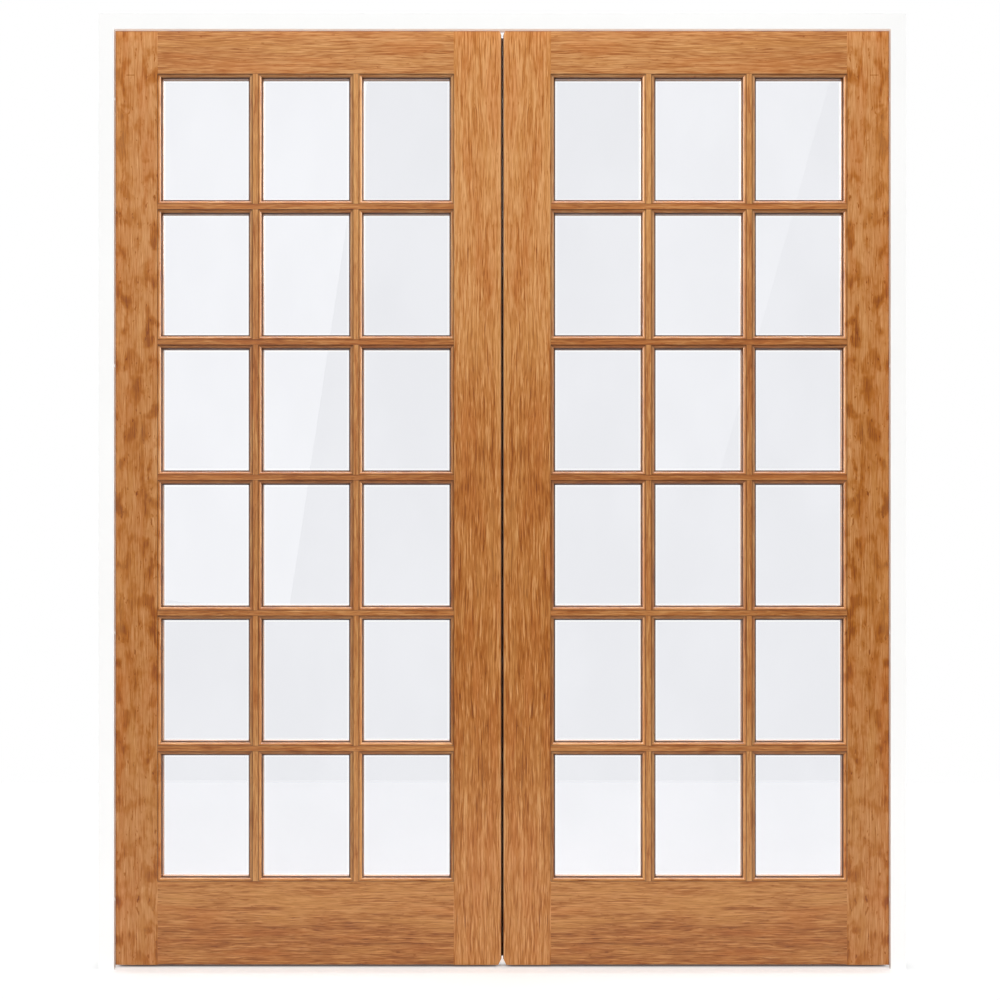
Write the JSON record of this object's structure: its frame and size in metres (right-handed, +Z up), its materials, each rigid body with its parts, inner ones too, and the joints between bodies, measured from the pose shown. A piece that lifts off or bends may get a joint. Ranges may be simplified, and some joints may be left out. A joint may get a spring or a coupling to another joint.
{
  "type": "french doors",
  "caption": "French doors with glazed timber leaves, moulded glazing bars and clear panes, hung on lift-off hinges in a slim white rebated frame",
  "frame": {"origin": "Middle of the box at floor level: halfway between the jambs' outer faces, halfway through the depth, at the feet of the jambs.", "axes": "+X to the right seen from the front, +Y from the front to the back, the way the leaves swing open, +Z up."},
  "size_m": [1.746, 0.074, 2.067],
  "materials": {
    "upright_timber": "clear satin lacquer on warm brown timber, grain upright",
    "cross_timber": "clear satin lacquer on warm brown timber, grain across",
    "bead_timber": "clear satin lacquer on warm brown timber",
    "frame_paint": "white satin paint on softwood",
    "pane_glass": "clear polished float glass",
    "hinge_steel": "satin stainless steel",
    "seal_pile": "dark brown woven pile"
  },
  "bodies": {
    "frame": {"head": "frame_paint", "left_jamb": "frame_paint", "left_hinge_jamb_plates": "hinge_steel", "left_hinge_pins": "hinge_steel", "right_jamb": "frame_paint", "right_hinge_jamb_plates": "hinge_steel", "right_hinge_pins": "hinge_steel"},
    "left_leaf": {"left_hinge_stile": "upright_timber", "left_meeting_stile": "upright_timber", "left_top_rail": "cross_timber", "left_bottom_rail": "cross_timber", "left_cross_bar_1": "cross_timber", "left_cross_bar_2": "cross_timber", "left_cross_bar_3": "cross_timber", "left_cross_bar_4": "cross_timber", "left_cross_bar_5": "cross_timber", "left_upright_bars_outer": "upright_timber", "left_upright_bars_inner": "upright_timber", "left_panes_row_1": "pane_glass", "left_panes_row_2": "pane_glass", "left_panes_row_3": "pane_glass", "left_panes_row_4": "pane_glass", "left_panes_row_5": "pane_glass", "left_panes_row_6": "pane_glass", "left_glazing_beads": "bead_timber", "left_hinge_leaf_plates": "hinge_steel", "meeting_seal": "seal_pile"},
    "right_leaf": {"right_hinge_stile": "upright_timber", "right_meeting_stile": "upright_timber", "right_top_rail": "cross_timber", "right_bottom_rail": "cross_timber", "right_cross_bar_1": "cross_timber", "right_cross_bar_2": "cross_timber", "right_cross_bar_3": "cross_timber", "right_cross_bar_4": "cross_timber", "right_cross_bar_5": "cross_timber", "right_upright_bars_outer": "upright_timber", "right_upright_bars_inner": "upright_timber", "right_panes_row_1": "pane_glass", "right_panes_row_2": "pane_glass", "right_panes_row_3": "pane_glass", "right_panes_row_4": "pane_glass", "right_panes_row_5": "pane_glass", "right_panes_row_6": "pane_glass", "right_glazing_beads": "bead_timber", "right_hinge_leaf_plates": "hinge_steel"}
  },
  "joints": [
    {"name": "left_leaf_swing", "type": "hinge", "parent": "frame", "child": "left_leaf", "pos_m": [-0.8455, 0.0315, 1], "axis": [0, 0, 1], "range_deg": [0, 110]},
    {"name": "right_leaf_swing", "type": "hinge", "parent": "frame", "child": "right_leaf", "pos_m": [0.8455, 0.0315, 1], "axis": [0, 0, -1], "range_deg": [0, 110]}
  ]
}
